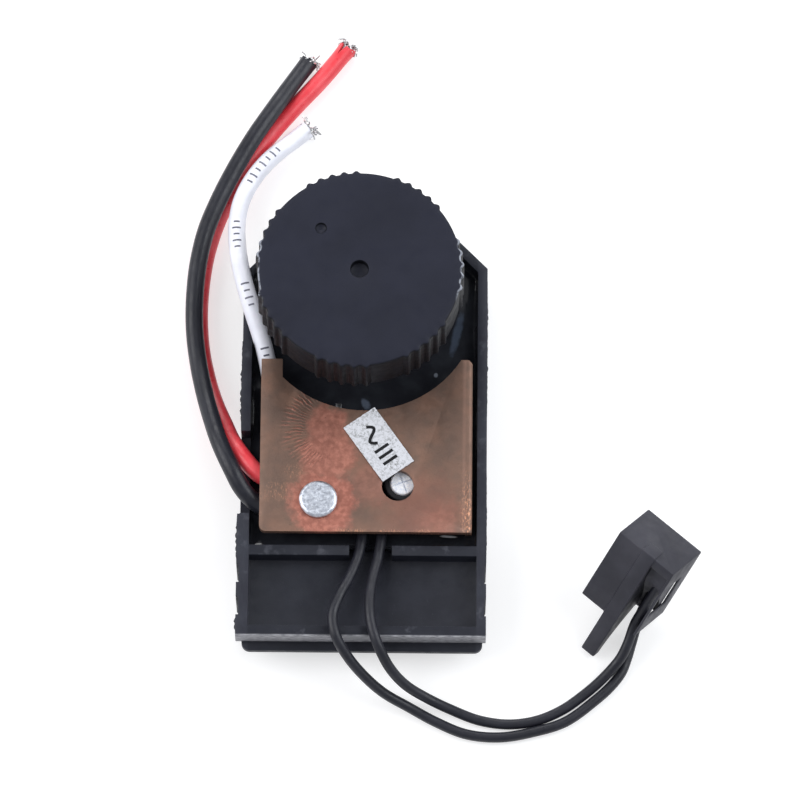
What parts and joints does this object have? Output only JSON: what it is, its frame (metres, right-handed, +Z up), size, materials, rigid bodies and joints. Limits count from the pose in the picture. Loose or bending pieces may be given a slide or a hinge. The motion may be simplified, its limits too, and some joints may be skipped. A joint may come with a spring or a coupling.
{
  "type": "electronic speed controller",
  "caption": "Potted variable-speed control for a small power tool: open tray, toothed dial on a potentiometer, riveted copper heat sink, supply wires and a speed pickup on thin leads.",
  "frame": {"origin": "on the tray's flat underside, at the middle of the tray's 33 mm by 58 mm outline, on the surface it lies on", "axes": "+Z up out of the open tray, along the dial's axis; +Y along the tray from the front pocket to the dial; +X to the right, seen from the front pocket, away from the supply wires"},
  "size_m": [0.0695, 0.1001, 0.022],
  "materials": {
    "tray_plastic": "satin, moulded",
    "potting": "cast, glossy",
    "board_laminate": "laminate",
    "copper": "oxidised, brushed",
    "zinc": "bright plated",
    "tinned_metal": "tinned",
    "epoxy": "moulded",
    "aluminium": "drawn",
    "film": "dipped",
    "ceramic": "glazed",
    "carbon_track": "printed",
    "wheel_plastic": "satin, moulded",
    "label_film": "speckled print",
    "black_pvc": "satin",
    "red_pvc": "satin",
    "white_pvc": "satin",
    "copper_strands": "tinned strands",
    "pickup_plastic": "matt, moulded",
    "winding": "enamelled wire",
    "iron": "turned"
  },
  "bodies": {
    "controller": {"tray": "tray_plastic", "circuit_board": "board_laminate", "potting_compound": "potting", "triac_body": "epoxy", "triac_tab": "tinned_metal", "triac_lead_1": "tinned_metal", "triac_lead_2": "tinned_metal", "triac_lead_3": "tinned_metal", "filter_capacitor_can": "aluminium", "filter_capacitor_sleeve": "epoxy", "film_capacitor": "film", "control_chip": "epoxy", "dropper_resistor": "ceramic", "diode": "epoxy", "heat_sink_plate": "copper", "heat_sink_rivet": "zinc", "rating_label": "label_film", "pot_housing": "epoxy", "pot_cover": "tinned_metal", "resistive_track": "carbon_track", "pot_terminal_1": "tinned_metal", "pot_terminal_2": "tinned_metal", "pot_terminal_3": "tinned_metal", "black_wire": "black_pvc", "red_wire": "red_pvc", "white_wire": "white_pvc", "black_wire_strands": "copper_strands", "red_wire_strands": "copper_strands", "white_wire_strands": "copper_strands", "sensor_lead_1": "black_pvc", "sensor_lead_2": "black_pvc", "pickup_housing": "pickup_plastic", "pickup_coil": "winding", "pickup_pole": "iron"},
    "dial": {"thumbwheel": "wheel_plastic", "pot_shaft": "tinned_metal", "wiper": "tinned_metal"}
  },
  "joints": [
    {"name": "dial_turn", "type": "hinge", "parent": "controller", "child": "dial", "pos_m": [-0.0007, 0.0178, 0.018], "axis": [0, 0, 1], "range_deg": [-135, 135]}
  ]
}
